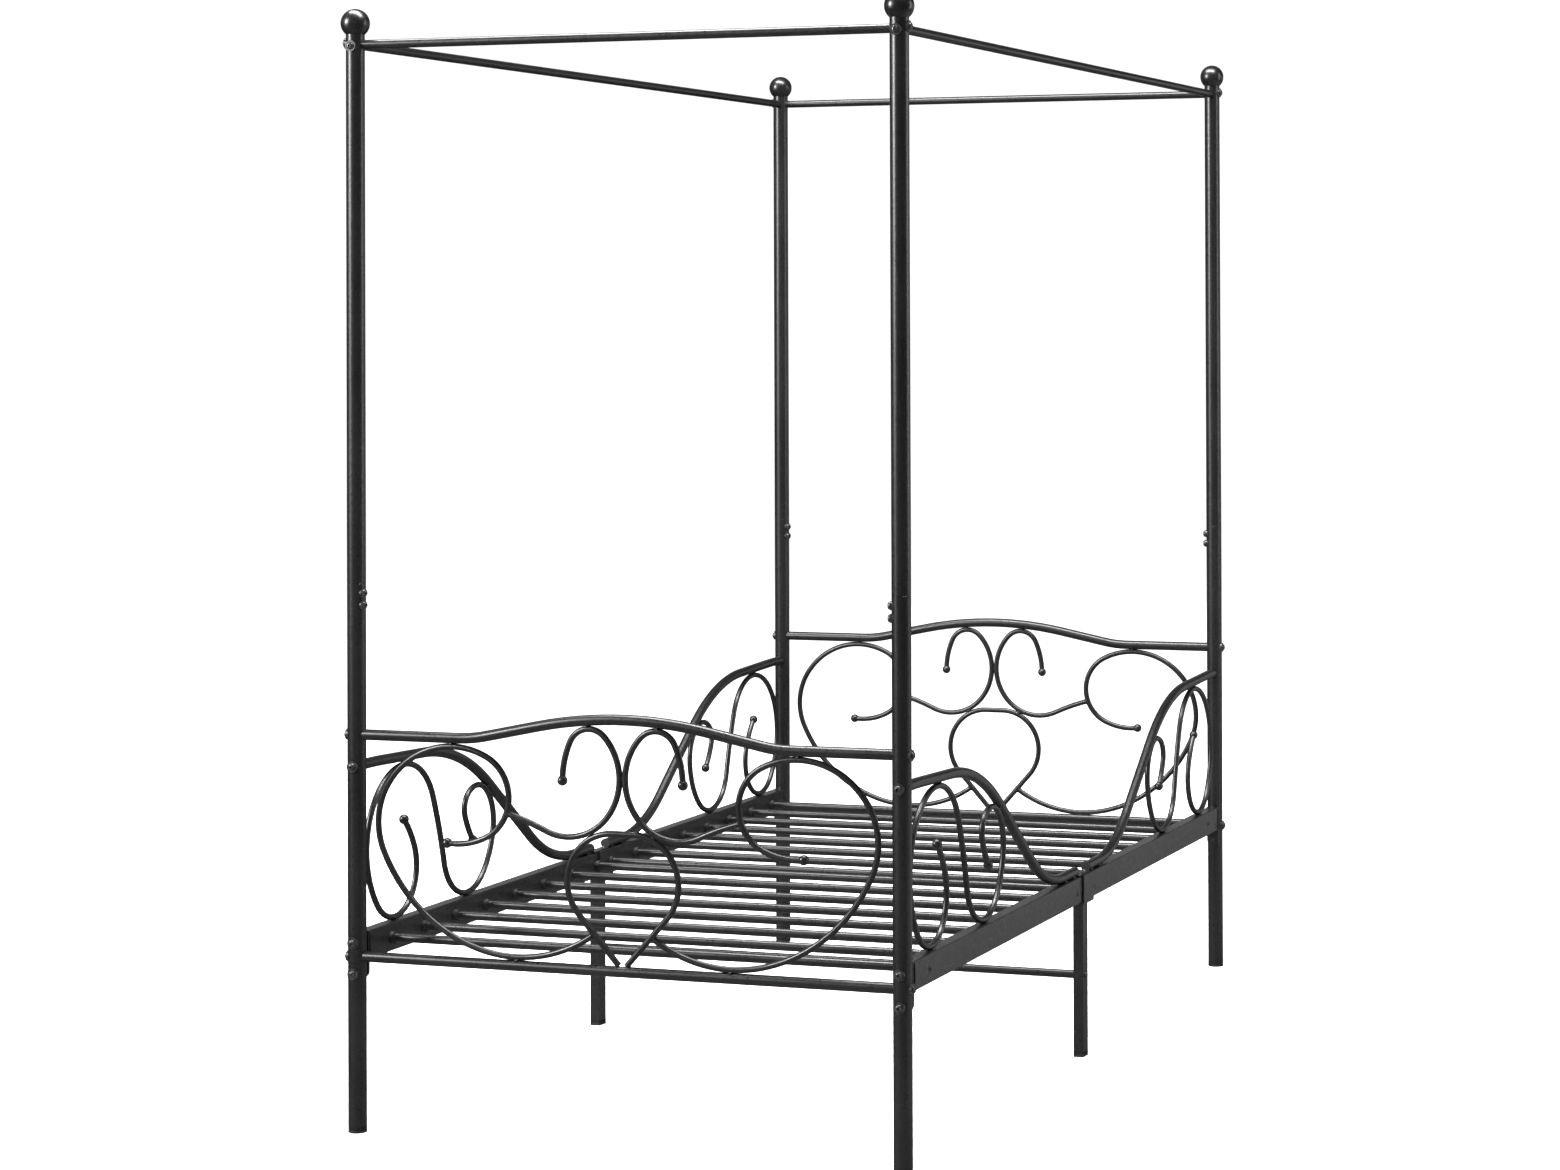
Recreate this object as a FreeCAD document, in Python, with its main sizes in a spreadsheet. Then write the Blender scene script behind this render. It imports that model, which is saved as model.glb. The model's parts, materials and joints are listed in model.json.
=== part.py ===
import FreeCAD, Part
import math
import os
import sys
import Sketcher

# Knock-down steel four poster canopy bed, twin size, in millimetres.
# Origin: centre of the footprint on the floor. +X is the sleeper's right seen from the foot,
# +Y runs from the footboard to the headboard, +Z is up.
# Round posts carry everything: a lower and an upper length joined by an inner sleeve, a ball
# finial on top, four canopy tubes, a scrolled footboard and headboard, and two-part side rails
# that meet on a middle leg. Every joint is bolted.

V = FreeCAD.Vector
UP = V(0, 0, 1)
DIMENSIONS = {
    # overall layout
    "axis_width": 1020.0,          # between post axes, across the bed
    "axis_length": 1930.0,         # between post axes, along the bed
    # posts
    "post_radius": 16.5,
    "post_wall": 1.2,
    "glide_height": 5.0,           # plastic foot under each post and leg
    "glide_easing": 2.0,
    "seam_height": 960.0,
    "seam_bevel": 0.6,
    "post_top": 1922.0,
    "sleeve_radius": 15.0,
    "sleeve_wall": 1.5,
    "sleeve_length": 140.0,
    "ball_radius": 25.5,
    "plug_length": 9.0,
    # tubes and rods
    "thin_tube_radius": 8.0,       # canopy tubes, slats and leg crossbar
    "board_tube_radius": 9.5,      # board tubes and guard tubes
    "tube_wall": 1.0,
    "rod_radius": 5.5,             # scrollwork
    "tip_radius": 9.0,             # ball on a scroll's end
    # heights of the fixings
    "canopy_height": 1904.0,
    "crossing_offset": 2.8,        # the two canopy bolts in a post pass above and below each other
    "top_tube_height": 695.0,
    "low_tube_height": 307.0,
    "guard_height": 640.0,
    "plate_bolt_high": 332.0,
    "plate_bolt_low": 278.0,
    "seam_screw_drop": 17.0,
    "seam_screw_gap": 21.0,
    "seam_screw_swing": 18.0,      # degrees from straight inward, towards the foot of the bed
    # boards
    "crown_rise": 41.5,
    "crown_angle": 11.5,
    "crown_foot_bend": 250.0,
    "crown_top_bend": 800.0,
    "teardrop_half_width": 104.0,
    "teardrop_height": 541.5,
    "teardrop_bend": 84.0,
    "teardrop_foot": 7.4,          # from the centre to a flank's foot
    "big_scroll_start": 57.0,      # from the centre, on the teardrop's flank
    "small_scroll_start": 112.4,
    "small_scroll_top": 62.5,      # from the centre to where it touches the top tube
    "small_scroll_run": 10.0,      # straight end that meets the big scroll
    # side rails
    "rail_top": 349.0,
    "rail_height": 50.0,
    "rail_width": 25.0,
    "rail_wall": 1.5,
    "rail_corner": 2.0,
    "plate_thickness": 5.5,
    "foot_rail_end": 42.0,         # foot half stops this far from the middle
    "head_rail_end": 15.0,         # head half runs this far past the middle
    # slats
    "slat_pitch": 119.5,
    "slat_first": 98.0,            # from a post axis to the nearest slat
    "slat_count": 8.0,             # in each half
    "slat_reach": 507.0,
    "socket_radius": 10.5,
    "socket_sleeve_radius": 9.0,
    "socket_length": 8.0,
    # middle legs
    "leg_width": 20.0,
    "leg_depth": 30.0,
    "bracket_start": 20.0,         # towards the foot
    "bracket_end": 42.0,           # towards the head
    "bracket_wall": 2.0,
    "bracket_drop": 5.0,
    "crossbar_height": 156.0,
    "tongue_start": 120.0,         # the tongue's reach into the foot half
    "tongue_length": 200.0,
    "middle_screw": 52.0,          # screws on the rails' outer faces beside the bracket
    "middle_screw_height": 320.0,
    "strip_screw": 27.0,           # screws through the joining strip
    "strip_width": 18.0,
    "strip_length": 66.0,
    # guards
    "guard_gap": 36.0,             # from the middle to a guard tube's end
    "guard_entry": 45.0,           # level stretch at the post
    "guard_entry_bend": 1200.0,
    "guard_fall": 2.0,             # slope up to the shoulder, in degrees
    "guard_shoulder": 240.0,       # from the post's axis to where the S starts
    "guard_high_bend": 460.0,
    "guard_slope": 36.0,           # steepest slope, in degrees
    "guard_low_bend": 320.0,
    "guard_scroll_start": 173.0,   # from the post's axis to the upper ball
    "guard_scroll_top": 169.0,     # from the post's axis to where the rod touches the tube
    "guard_cap_lip": 2.5,
    "plug_depth": 12.0,            # plastic plugs' reach into their tubes
    # fasteners
    "bolt_radius": 3.0,
    "bolt_head_radius": 6.6,
    "bolt_head_height": 4.2,
    "screw_radius": 2.5,
    "screw_head_radius": 4.8,
    "screw_head_height": 2.6,
    "washer_radius": 9.8,
    "washer_thickness": 2.4,
    "seam_washer_radius": 7.7,
    "seam_bolt_reach": 4.5,        # from a post's outer wall inwards
    "insert_length": 22.0,
    "insert_setback": 4.0,         # from a post's wall to the insert behind it
    "bolt_grip": 16.0,             # how far a bolt's shank goes past the far face of what it clamps
    "short_screw_length": 5.5,
}

# Bends of one rod: (radius, turn in degrees), a positive turn is to the left of travel.
# The headings are the directions in which the rods set off, in degrees.
BIG_SCROLL = [(264, 50), (296, 50), (130, 55), (150, 86), (79.5, 127), (137, 30)]
SMALL_SCROLL = [(162, 22), (39, 112), (105, 82), (97, 76), (485, -8)]
BIG_HEADING = -34.0
SMALL_HEADING = 92.5
GUARD_HEADING = -45.8
GUARD_LOOP = [(180, -18.7), (81, -165), (166, -28), (138, -96), (118, -74)]
GUARD_FALL = (876, -8)
GUARD_CURL = [(90.8, 117), (142, 40), (78, 61), (59, 76), (34, 74), (159, 18)]

SIDES = {"left": -1, "right": 1}
ENDS = {"foot": -1, "head": 1}

doc = FreeCAD.newDocument("canopy_bed")
sheet = doc.addObject("Spreadsheet::Sheet", "dims")
for row, (alias, value) in enumerate(DIMENSIONS.items(), start=1):
    sheet.set(f"A{row}", alias)
    sheet.set(f"B{row}", str(value))
    sheet.setAlias(f"B{row}", alias)
doc.recompute()

nodes = []


def size(alias):
    """The value of one cell of the sheet."""
    return float(sheet.get(alias))


half_width = size("axis_width") / 2
half_length = size("axis_length") / 2


def node(item, label):
    """Register an object as a finished sub-part."""
    item.Label = label
    nodes.append(item)
    return item


def bind(item, **expressions):
    """Bind properties to sheet cells; a double underscore stands for a dot."""
    for name, expression in expressions.items():
        item.setExpression(name.replace("__", "."), expression)
    return item


def plane(body, role):
    return next(f for f in body.Origin.OriginFeatures if f.Role == role)


def sketch_on(body, role, name):
    sketch = body.newObject("Sketcher::SketchObject", name)
    sketch.AttachmentSupport = [(plane(body, role), "")]
    sketch.MapMode = "FlatFace"
    return sketch


def add_circle(sketch, radius, along="0", up="0"):
    """A circle whose radius and centre are bound to expressions."""
    start = V(1, 1, 0)
    ring = sketch.addGeometry(Part.Circle(start, UP, 10.0), False)
    for kind, expression in (("DistanceX", along), ("DistanceY", up)):
        index = sketch.addConstraint(Sketcher.Constraint(kind, -1, 1, ring, 3, 1.0))
        sketch.setExpression(f"Constraints[{index}]", expression)
    index = sketch.addConstraint(Sketcher.Constraint("Radius", ring, 10.0))
    sketch.setExpression(f"Constraints[{index}]", radius)
    return ring


def add_box(sketch, width, height, up="0"):
    """A rectangle centred across the vertical axis, with its lower edge at `up`."""
    corners = [V(-1, 0, 0), V(1, 0, 0), V(1, 2, 0), V(-1, 2, 0)]
    lines = []
    for start, end in zip(corners, corners[1:] + corners[:1]):
        lines.append(sketch.addGeometry(Part.LineSegment(start, end), False))
    for first, second in zip(lines, lines[1:] + lines[:1]):
        sketch.addConstraint(Sketcher.Constraint("Coincident", first, 2, second, 1))
    for line, kind in zip(lines, ("Horizontal", "Vertical") * 2):
        sketch.addConstraint(Sketcher.Constraint(kind, line))
    bounds = (
        ("DistanceX", -1, 1, lines[0], 2, f"({width}) / 2"),
        ("DistanceX", lines[0], 1, lines[0], 2, width),
        ("DistanceY", -1, 1, lines[0], 2, up),
        ("DistanceY", lines[1], 1, lines[1], 2, height),
    )
    for kind, first, first_end, second, second_end, expression in bounds:
        constraint = Sketcher.Constraint(kind, first, first_end, second, second_end, 1.0)
        index = sketch.addConstraint(constraint)
        sketch.setExpression(f"Constraints[{index}]", expression)


def pad(body, sketch, length, midplane=False):
    feature = body.newObject("PartDesign::Pad", "Pad")
    feature.Profile = sketch
    feature.Midplane = midplane
    return bind(feature, Length=length)


def pocket_through(body, sketch):
    """Cut right through, both ways from the sketch, and make sure that it removes something."""
    doc.recompute()
    before = body.Shape.Volume
    feature = body.newObject("PartDesign::Pocket", "Pocket")
    feature.Profile = sketch
    feature.Type = "ThroughAll"
    feature.Midplane = True
    doc.recompute()
    if not body.Shape.Volume < before:
        sys.exit(f"{body.Label}: the pocket {sketch.Label} cuts nothing")
    return feature


def pocket_one_side(body, sketch, length, reverse):
    """Cut from the sketch plane to one side only."""
    feature = body.newObject("PartDesign::Pocket", "Pocket")
    feature.Profile = sketch
    feature.Reversed = reverse
    bind(feature, Length=length)
    doc.recompute()
    return feature


def new_body(name):
    return doc.addObject("PartDesign::Body", name)


# ---------------------------------------------------------------- posts

def post_section(body, bottom, length):
    """A round tube standing on its own base plane, or above it by `bottom`."""
    sketch = sketch_on(body, "XY_Plane", "Section")
    add_circle(sketch, "dims.post_radius")
    add_circle(sketch, "dims.post_radius - dims.post_wall")
    sketch.setExpression("AttachmentOffset.Base.z", bottom)
    pad(body, sketch, length)


def bevel_rim(body, height):
    """A small bevel around a post's outer rim at `height` above the body's base."""
    doc.recompute()
    base = body.Tip
    rims = []
    for index, edge in enumerate(body.Shape.Edges, start=1):
        extent = edge.BoundBox
        at_rim = abs(extent.Center.z - body.Placement.Base.z - height) < 0.01 and extent.ZLength < 0.01
        if at_rim and extent.XLength > 2 * size("post_radius") - 0.1:
            rims.append(f"Edge{index}")
    bevel = body.newObject("PartDesign::Chamfer", "RimBevel")
    bevel.Base = (base, rims)
    bind(bevel, Size="dims.seam_bevel")


def hole_rows(body, role, name, heights, radius):
    sketch = sketch_on(body, role, name)
    for height in heights:
        add_circle(sketch, radius, "0", height)
    pocket_through(body, sketch)


def screw_holes(body, name, high, towards, swing=0.0):
    """Two small holes, one above the other, on the +X or -X side, turned `swing` degrees about Z."""
    sketch = sketch_on(body, "YZ_Plane", name)
    sketch.AttachmentOffset = FreeCAD.Placement(V(), FreeCAD.Rotation(V(0, 1, 0), swing))
    for height in (high, f"{high} - dims.seam_screw_gap"):
        add_circle(sketch, "dims.screw_radius", "0", height)
    pocket_one_side(body, sketch, "dims.post_radius + 1", reverse=towards > 0)


def at_corner(item, side, end, height="0"):
    bind(
        item,
        Placement__Base__x=f"{side} * dims.axis_width / 2",
        Placement__Base__y=f"{end} * dims.axis_length / 2",
        Placement__Base__z=height,
    )


def make_post(side_name, end_name):
    side, end = SIDES[side_name], ENDS[end_name]
    lower = new_body("LowerPost")
    post_section(lower, "dims.glide_height", "dims.seam_height - dims.glide_height")
    bevel_rim(lower, size("seam_height"))
    crosswise = ["dims.top_tube_height", "dims.low_tube_height"]
    lengthwise = ["dims.guard_height", "dims.plate_bolt_high", "dims.plate_bolt_low"]
    hole_rows(lower, "YZ_Plane", "BoardBoltHoles", crosswise, "dims.bolt_radius")
    hole_rows(lower, "XZ_Plane", "RailBoltHoles", lengthwise, "dims.bolt_radius")
    swing = side * size("seam_screw_swing")
    screw_holes(lower, "SeamScrewHoles", "dims.seam_height - dims.seam_screw_drop", -side, swing)
    at_corner(lower, side, end)
    node(lower, f"post_lower_{end_name}_{side_name}")

    upper = new_body("UpperPost")
    post_section(upper, "0", "dims.post_top - dims.seam_height")
    bevel_rim(upper, 0)
    over = "dims.canopy_height + dims.crossing_offset - dims.seam_height"
    under = "dims.canopy_height - dims.crossing_offset - dims.seam_height"
    hole_rows(upper, "YZ_Plane", "CrosswiseBoltHole", [over], "dims.screw_radius")
    hole_rows(upper, "XZ_Plane", "LengthwiseBoltHole", [under], "dims.screw_radius")
    at_corner(upper, side, end, "dims.seam_height")
    node(upper, f"post_upper_{end_name}_{side_name}")


def make_finial(side_name, end_name):
    """A ball cut flat where it meets the post's rim, with a plug that fills the tube's mouth."""
    ball = doc.addObject("Part::Sphere", "Ball")
    bind(
        ball,
        Radius="dims.ball_radius",
        Angle1="-acos(dims.post_radius / dims.ball_radius)",
        Placement__Base__z="sqrt(dims.ball_radius ^ 2 - dims.post_radius ^ 2)",
    )
    plug = doc.addObject("Part::Cylinder", "Plug")
    bind(
        plug,
        Radius="dims.post_radius - dims.post_wall",
        Height="dims.plug_length",
        Placement__Base__z="-dims.plug_length",
    )
    finial = doc.addObject("Part::MultiFuse", "Finial")
    finial.Shapes = [ball, plug]
    at_corner(finial, SIDES[side_name], ENDS[end_name], "dims.post_top")
    node(finial, f"finial_{end_name}_{side_name}")


for side_name in SIDES:
    for end_name in ENDS:
        make_post(side_name, end_name)
        make_finial(side_name, end_name)


# ---------------------------------------------------------------- groups of identical pieces

def placed(x, y, z, direction=UP, lift=None):
    """A placement that turns the piece's own +Z to `direction` and, if given, its +X to `lift`."""
    if lift is None:
        turned = FreeCAD.Rotation(UP, direction)
    else:
        turned = FreeCAD.Rotation(lift, V(), direction, "ZXY")
    return FreeCAD.Placement(V(x, y, z), turned)


def group(label, members):
    """One node of separate solids: links to masters, each with its own placement."""
    links = []
    for master, placement in members:
        link = doc.addObject("App::Link", "Copy")
        link.LinkedObject = master
        link.LinkTransform = False
        link.Placement = placement
        links.append(link)
    compound = doc.addObject("Part::Compound", "Group")
    compound.Links = links
    node(compound, label)


def corners():
    """Side and end of each of the four posts."""
    return [(side, end) for side in SIDES.values() for end in ENDS.values()]


def cylinder(radius, height, base=None):
    """A round piece standing at z=0 or at `base`; only one without `base` is placed afterwards."""
    piece = doc.addObject("Part::Cylinder", "Round")
    bind(piece, Radius=radius, Height=height)
    if base is not None:
        bind(piece, Placement__Base__z=base)
    return piece


def fused(*pieces):
    result = doc.addObject("Part::MultiFuse", "Fused")
    result.Shapes = list(pieces)
    return result


def cut(base, *tools):
    result = doc.addObject("Part::Cut", "Cut")
    result.Base = base
    result.Tool = tools[0] if len(tools) == 1 else fused(*tools)
    return result


def sleeve_master():
    """Inner sleeve across a post's seam, with the two seam screws' holes on its +X side."""
    body = new_body("Sleeve")
    sketch = sketch_on(body, "XY_Plane", "Section")
    add_circle(sketch, "dims.sleeve_radius")
    add_circle(sketch, "dims.sleeve_radius - dims.sleeve_wall")
    sketch.setExpression("AttachmentOffset.Base.z", "-dims.sleeve_length / 2")
    pad(body, sketch, "dims.sleeve_length")
    screw_holes(body, "ScrewHoles", "-dims.seam_screw_drop", 1)
    return body


sleeve = sleeve_master()
members = []
for side, end in corners():
    turned = FreeCAD.Rotation(UP, (180 if side > 0 else 0) + side * size("seam_screw_swing"))
    spot = V(side * half_width, end * half_length, size("seam_height"))
    members.append((sleeve, FreeCAD.Placement(spot, turned)))
group("post_joiners", members)


def round_glide():
    """Foot under a post: a rim with an eased edge and a plug up the tube."""
    rim = cylinder("dims.post_radius", "dims.glide_height")
    plug = cylinder("dims.post_radius - dims.post_wall", "dims.plug_depth", "dims.glide_height")
    foot = fused(rim, plug)
    doc.recompute()
    eased = doc.addObject("Part::Fillet", "Eased")
    eased.Base = foot
    lowest = min(range(len(foot.Shape.Edges)), key=lambda i: foot.Shape.Edges[i].BoundBox.ZMax)
    easing = size("glide_easing")
    eased.Edges = [(lowest + 1, easing, easing)]
    return eased


def leg_glide():
    """Foot under a middle leg: a flat pad and a block up the rectangular tube."""
    rim = doc.addObject("Part::Box", "Rim")
    bind(rim, Length="dims.leg_width", Width="dims.leg_depth", Height="dims.glide_height")
    bind(rim, Placement__Base__x="-dims.leg_width / 2", Placement__Base__y="-dims.leg_depth / 2")
    block = doc.addObject("Part::Box", "Block")
    inner = "2 * dims.rail_wall"
    bind(block, Length=f"dims.leg_width - {inner}", Width=f"dims.leg_depth - {inner}")
    bind(block, Height="dims.plug_depth")
    bind(
        block,
        Placement__Base__x="-dims.leg_width / 2 + dims.rail_wall",
        Placement__Base__y="-dims.leg_depth / 2 + dims.rail_wall",
        Placement__Base__z="dims.glide_height",
    )
    return fused(rim, block)


post_glide = round_glide()
members = [(post_glide, placed(side * half_width, end * half_length, 0)) for side, end in corners()]
flat_glide = leg_glide()
members += [(flat_glide, placed(side * half_width, 0, 0)) for side in SIDES.values()]
group("foot_glides", members)


# ---------------------------------------------------------------- straight tubes between posts

def coped_tube(label, role, spots, radius, half_span, end_axes, base):
    """A round tube between two posts, its ends shaped to the posts' round walls.

    `role` is the plane of its section, `spots` the section's centre in that plane, and
    `end_axes` the two post axes in the XY plane.
    """
    body = new_body("CopedTube")
    sketch = sketch_on(body, role, "Section")
    add_circle(sketch, radius, *spots)
    add_circle(sketch, f"{radius} - dims.tube_wall", *spots)
    pad(body, sketch, f"2 * {half_span}", midplane=True)
    saddle = sketch_on(body, "XY_Plane", "Saddles")
    for along, up in end_axes:
        add_circle(saddle, "dims.post_radius", along, up)
    pocket_through(body, saddle)
    bind(body, **base)
    node(body, label)


across = "dims.axis_width / 2"
along_bed = "dims.axis_length / 2"
for end_name, end in ENDS.items():
    ends_x = ((f"-{across}", "0"), (across, "0"))
    shift = {"Placement__Base__y": f"{end} * {along_bed}"}
    coped_tube(
        f"canopy_tube_{end_name}", "YZ_Plane", ("0", "dims.canopy_height"),
        "dims.thin_tube_radius", across, ends_x, shift,
    )
    coped_tube(
        f"{end_name}board_low_tube", "YZ_Plane", ("0", "dims.low_tube_height"),
        "dims.board_tube_radius", across, ends_x, shift,
    )
for side_name, side in SIDES.items():
    ends_y = (("0", f"-{along_bed}"), ("0", along_bed))
    shift = {"Placement__Base__x": f"{side} * {across}"}
    coped_tube(
        f"canopy_tube_{side_name}", "XZ_Plane", ("0", "dims.canopy_height"),
        "dims.thin_tube_radius", along_bed, ends_y, shift,
    )


# ---------------------------------------------------------------- bent tubes and rods

class Bender:
    """Centre line of one bent rod, drawn in a plane as straight runs and tangent bends."""

    def __init__(self, u, v, heading, to_space):
        self.u = u
        self.v = v
        self.heading = math.radians(heading)
        self.to_space = to_space
        self.edges = []
        self.low = v
        self.high = v

    def point(self, u, v):
        return self.to_space(u, v)

    def run(self, length):
        start = self.point(self.u, self.v)
        self.u += length * math.cos(self.heading)
        self.v += length * math.sin(self.heading)
        self.edges.append(Part.LineSegment(start, self.point(self.u, self.v)).toShape())
        self.note()
        return self

    def bend(self, radius, turn):
        swing = math.radians(turn)
        hand = 1 if turn > 0 else -1
        centre_u = self.u - hand * radius * math.sin(self.heading)
        centre_v = self.v + hand * radius * math.cos(self.heading)

        def on_arc(share):
            angle = self.heading + share * swing
            u = centre_u + hand * radius * math.sin(angle)
            v = centre_v - hand * radius * math.cos(angle)
            self.low = min(self.low, v)
            self.high = max(self.high, v)
            return u, v

        start = self.point(self.u, self.v)
        steps = 60
        marks = [on_arc(step / steps) for step in range(steps + 1)]
        middle = self.point(*marks[steps // 2])
        self.u, self.v = marks[-1]
        self.edges.append(Part.Arc(start, middle, self.point(self.u, self.v)).toShape())
        self.heading += swing
        return self

    def bends(self, table, scale=1.0):
        for radius, turn in table:
            self.bend(radius * scale, turn)
        return self

    def note(self):
        self.low = min(self.low, self.v)
        self.high = max(self.high, self.v)

    def tip(self):
        """Where the rod ends and which way it points there."""
        end = self.point(self.u, self.v)
        reach = 1.0
        ahead = self.point(
            self.u + reach * math.cos(self.heading), self.v + reach * math.sin(self.heading)
        )
        return end, ahead - end


def board_plane(side, end):
    """Plane of a board: u is the distance from the centre towards `side`, v the height."""
    return lambda u, v: V(side * u, end * half_length, v)


def guard_plane(side, end):
    """Plane of a side guard: u runs from the post's axis to the middle, v is the height."""
    return lambda u, v: V(side * half_width, end * (half_length - u), v)


def swept(bender, radius):
    """A round bar of the bound radius along a bender's centre line."""
    line = doc.addObject("Part::Feature", "CentreLine")
    line.Shape = Part.Wire(bender.edges)
    ring = doc.addObject("Part::Circle", "Section")
    bind(ring, Radius=radius)
    first = bender.edges[0]
    ring.Placement = FreeCAD.Placement(
        first.valueAt(first.FirstParameter),
        FreeCAD.Rotation(UP, first.tangentAt(first.FirstParameter)),
    )
    sweep = doc.addObject("Part::Sweep", "Swept")
    sweep.Sections = [ring]
    sweep.Spine = (line, [])
    sweep.Solid = True
    sweep.Frenet = False
    return sweep


tips = []


def add_tip(bender):
    """Remember a ball for the rod's end: its seat point and the way it points."""
    tips.append(bender.tip())


def rod(label, bender):
    node(swept(bender, "dims.rod_radius"), label)


def start_tip(u, v, heading, to_space):
    """Remember a ball where a rod starts; it points back along the rod."""
    behind = Bender(u, v, heading + 180, to_space)
    tips.append(behind.tip())


rod_radius = size("rod_radius")
board_clear_low = size("low_tube_height") + size("board_tube_radius") + rod_radius
board_clear_high = size("top_tube_height") - size("board_tube_radius") - rod_radius
contact = 0.15  # welded rods are pressed this far into what they are welded to


def crown_line(side_space):
    """Top tube: level from each post, then a low crown over the middle."""
    foot_bend, top_bend = size("crown_foot_bend"), size("crown_top_bend")
    angle = size("crown_angle")
    slope = math.radians(angle)
    lift = (foot_bend + top_bend) * (1 - math.cos(slope))
    straight = (size("crown_rise") - lift) / math.sin(slope)
    span = (foot_bend + top_bend) * math.sin(slope) + straight * math.cos(slope)
    line = Bender(-half_width, size("top_tube_height"), 0, side_space)
    line.run(half_width - span)
    line.bend(foot_bend, angle).run(straight).bend(top_bend, -2 * angle)
    line.run(straight).bend(foot_bend, angle).run(half_width - span)
    return line


def crown_height(u):
    """Height of the top tube's centre line near the middle of the board."""
    top_bend = size("crown_top_bend")
    peak = size("top_tube_height") + size("crown_rise")
    return peak - top_bend + math.sqrt(top_bend ** 2 - u ** 2)


def post_cutters(end):
    """Two post-sized cylinders that shape a tube's ends."""
    cutters = []
    for side in SIDES.values():
        cutter = cylinder("dims.post_radius", "dims.seam_height")
        at_corner(cutter, side, end)
        cutters.append(cutter)
    return cutters


def make_crown_tube(end_name):
    end = ENDS[end_name]
    space = board_plane(1, end)
    outer = swept(crown_line(space), "dims.board_tube_radius")
    inner = swept(crown_line(space), "dims.board_tube_radius - dims.tube_wall")
    node(cut(outer, inner, *post_cutters(end)), f"{end_name}board_top_tube")


def make_big_scroll(side_name, end_name, teardrop):
    """Starts on the teardrop's flank, rests on the low tube, rises beside the post, passes under
    the top tube and curls in to a ball."""
    space = board_plane(SIDES[side_name], ENDS[end_name])
    trial = Bender(0, 0, BIG_HEADING, space).bends(BIG_SCROLL)
    scale = (board_clear_high - board_clear_low + 2 * contact) / (trial.high - trial.low)
    start_height = board_clear_low - contact - trial.low * scale
    line = Bender(size("big_scroll_start"), start_height, BIG_HEADING, space)
    line.bends(BIG_SCROLL, scale)
    add_tip(line)
    scroll = cut(swept(line, "dims.rod_radius"), teardrop)
    node(scroll, f"{end_name}board_big_scroll_{side_name}")
    return scroll


def make_small_scroll(side_name, end_name, big_scroll):
    """Starts at its ball, loops over under the crown, passes its twin at the centre and runs
    out to the big scroll's inner side."""
    space = board_plane(SIDES[side_name], ENDS[end_name])
    start_u, heading = size("small_scroll_start"), SMALL_HEADING
    trial = Bender(start_u, 0, heading, space).bends(SMALL_SCROLL)
    under_crown = crown_height(size("small_scroll_top")) - size("board_tube_radius") - rod_radius
    start_height = under_crown + contact - trial.high
    line = Bender(start_u, start_height, heading, space).bends(SMALL_SCROLL)
    line.run(size("small_scroll_run"))
    start_tip(start_u, start_height, heading, space)
    scroll = cut(swept(line, "dims.rod_radius"), big_scroll)
    node(scroll, f"{end_name}board_small_scroll_{side_name}")


def make_teardrop(end_name):
    """Two straight flanks that meet on the low tube, round shoulders and a flat top."""
    radius = size("teardrop_bend")
    half_top = size("teardrop_half_width") - radius
    shoulder_height = size("teardrop_height") - radius
    # The flanks leave the low tube side by side, at the steepest lean that meets the shoulders.
    foot_u = size("teardrop_foot")
    foot_height = size("low_tube_height") + size("board_tube_radius") + 1.0
    rise, drift = shoulder_height - foot_height, half_top - foot_u
    reach = math.hypot(rise, drift)
    flank = math.sqrt(reach ** 2 - radius ** 2)
    lean = math.degrees(math.atan2(rise, drift) - math.asin(radius / reach))
    turn = 180 - lean
    line = Bender(-foot_u, foot_height, 180 - lean, board_plane(1, ENDS[end_name]))
    line.run(flank).bend(radius, -turn).run(2 * half_top).bend(radius, -turn).run(flank)
    low_tube = cylinder("dims.board_tube_radius", "2 * dims.teardrop_half_width")
    back = size("teardrop_half_width")
    low_tube.Placement = placed(-back, ENDS[end_name] * half_length, size("low_tube_height"), V(1, 0, 0))
    teardrop = cut(swept(line, "dims.rod_radius"), low_tube)
    node(teardrop, f"{end_name}board_teardrop")
    return teardrop


for end_name in ENDS:
    make_crown_tube(end_name)
    teardrop = make_teardrop(end_name)
    for side_name in SIDES:
        big_scroll = make_big_scroll(side_name, end_name, teardrop)
        make_small_scroll(side_name, end_name, big_scroll)


# ---------------------------------------------------------------- side rails

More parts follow.
